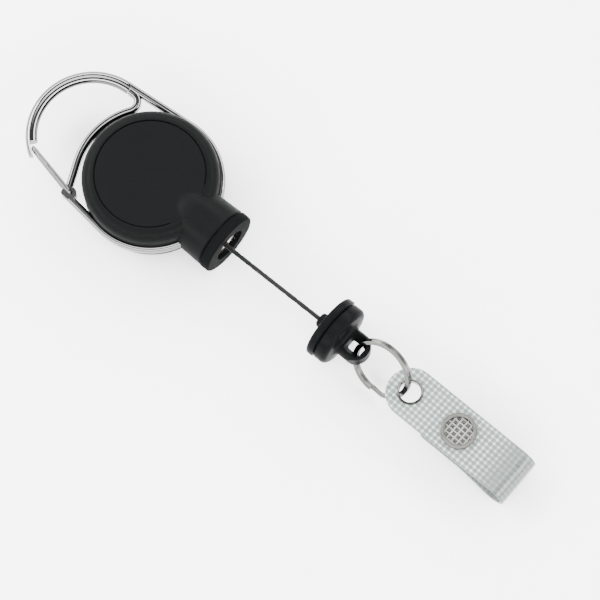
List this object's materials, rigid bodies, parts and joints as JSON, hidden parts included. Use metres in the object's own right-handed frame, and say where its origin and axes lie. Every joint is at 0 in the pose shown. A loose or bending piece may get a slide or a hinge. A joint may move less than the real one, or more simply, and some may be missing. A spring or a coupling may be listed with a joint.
{
  "type": "badge reel",
  "caption": "Retractable badge reel: round casing in a carabiner frame with a wire gate, cord, swivelling stopper, split ring and snap strap.",
  "frame": {"origin": "centre of the casing's flat rear face", "axes": "+Z out of the lid, +X along the neck and cord towards the badge strap, +Y to the side away from the gate's pivot"},
  "size_m": [0.1436, 0.0342, 0.0156],
  "materials": {
    "casing_black": "fine satin moulding texture",
    "collar_black": "smooth satin",
    "nickel": "bright nickel plate",
    "frame_chrome": "polished plate over die-cast metal",
    "gate_steel": "bright drawn spring wire",
    "steel": "ground steel",
    "acetal": "natural moulded acetal",
    "spring_steel": "blued spring strip",
    "cord_black": "tight round braid",
    "ferrule_brass": "crimped",
    "stopper_black": "smooth satin, slightly glossy",
    "ring_steel": "nickel plated spring steel",
    "vinyl": "clear vinyl over a white woven scrim",
    "snap_nickel": "bright nickel plate"
  },
  "bodies": {
    "reel": {"front_casing": "casing_black", "rear_casing": "casing_black", "nose_collar": "collar_black", "cord_bushing": "nickel", "bushing_sleeve": "collar_black", "carabiner_frame": "frame_chrome", "centre_post": "steel"},
    "gate": {"gate_wire": "gate_steel"},
    "drum": {"spool": "acetal", "spool_cover": "acetal", "wound_cord": "cord_black", "power_spring": "spring_steel"},
    "cord_end": {"cord": "cord_black", "cord_ferrule": "ferrule_brass"},
    "stopper": {"stopper_cap": "stopper_black", "stopper_body": "stopper_black"},
    "key_ring": {"split_ring": "ring_steel"},
    "strap": {"strap_upper_leaf": "vinyl", "eyelet": "snap_nickel", "eyelet_washer": "snap_nickel", "snap_top_ring": "snap_nickel", "snap_socket": "snap_nickel", "snap_spring": "gate_steel"},
    "flap": {"strap_lower_leaf": "vinyl", "snap_stud": "snap_nickel", "snap_back_ring": "snap_nickel"}
  },
  "joints": [
    {"name": "gate_pivot", "type": "hinge", "parent": "reel", "child": "gate", "pos_m": [-0.0124, -0.01435, 0.0078], "axis": [0, 0, -1], "range_deg": [0, 30], "stiffness_Nm_per_rad": 0.02, "springref_deg": -11.46},
    {"name": "spool_spin", "type": "hinge", "parent": "reel", "child": "drum", "pos_m": [0, 0, 0.0078], "axis": [0, 0, 1], "range_deg": [-160, 3232], "deforming": ["power_spring"]},
    {"name": "cord_pull", "type": "slide", "parent": "reel", "child": "cord_end", "axis": [1, 0, 0], "range_m": [-0.028, 0.572], "deforming": ["cord"]},
    {"name": "stopper_swivel", "type": "hinge", "parent": "cord_end", "child": "stopper", "pos_m": [0.056, 0, 0.0078], "axis": [1, 0, 0], "continuous": true},
    {"name": "ring_swing", "type": "hinge", "parent": "stopper", "child": "key_ring", "pos_m": [0.0623, 0, 0.0078], "axis": [0, 0, 1], "range_deg": [-15, 15]},
    {"name": "strap_swing", "type": "hinge", "parent": "key_ring", "child": "strap", "pos_m": [0.0767, 0, 0.0075], "axis": [0, 0, 1], "range_deg": [-12, 12]},
    {"name": "snap_flap", "type": "hinge", "parent": "strap", "child": "flap", "pos_m": [0.10995, 0, 0.0044], "axis": [0, -1, 0], "range_deg": [0, 50], "stiffness_Nm_per_rad": 0.002}
  ],
  "couplings": [
    {"joint": "spool_spin", "follows": "cord_pull", "rad_per_m": 98.522}
  ]
}
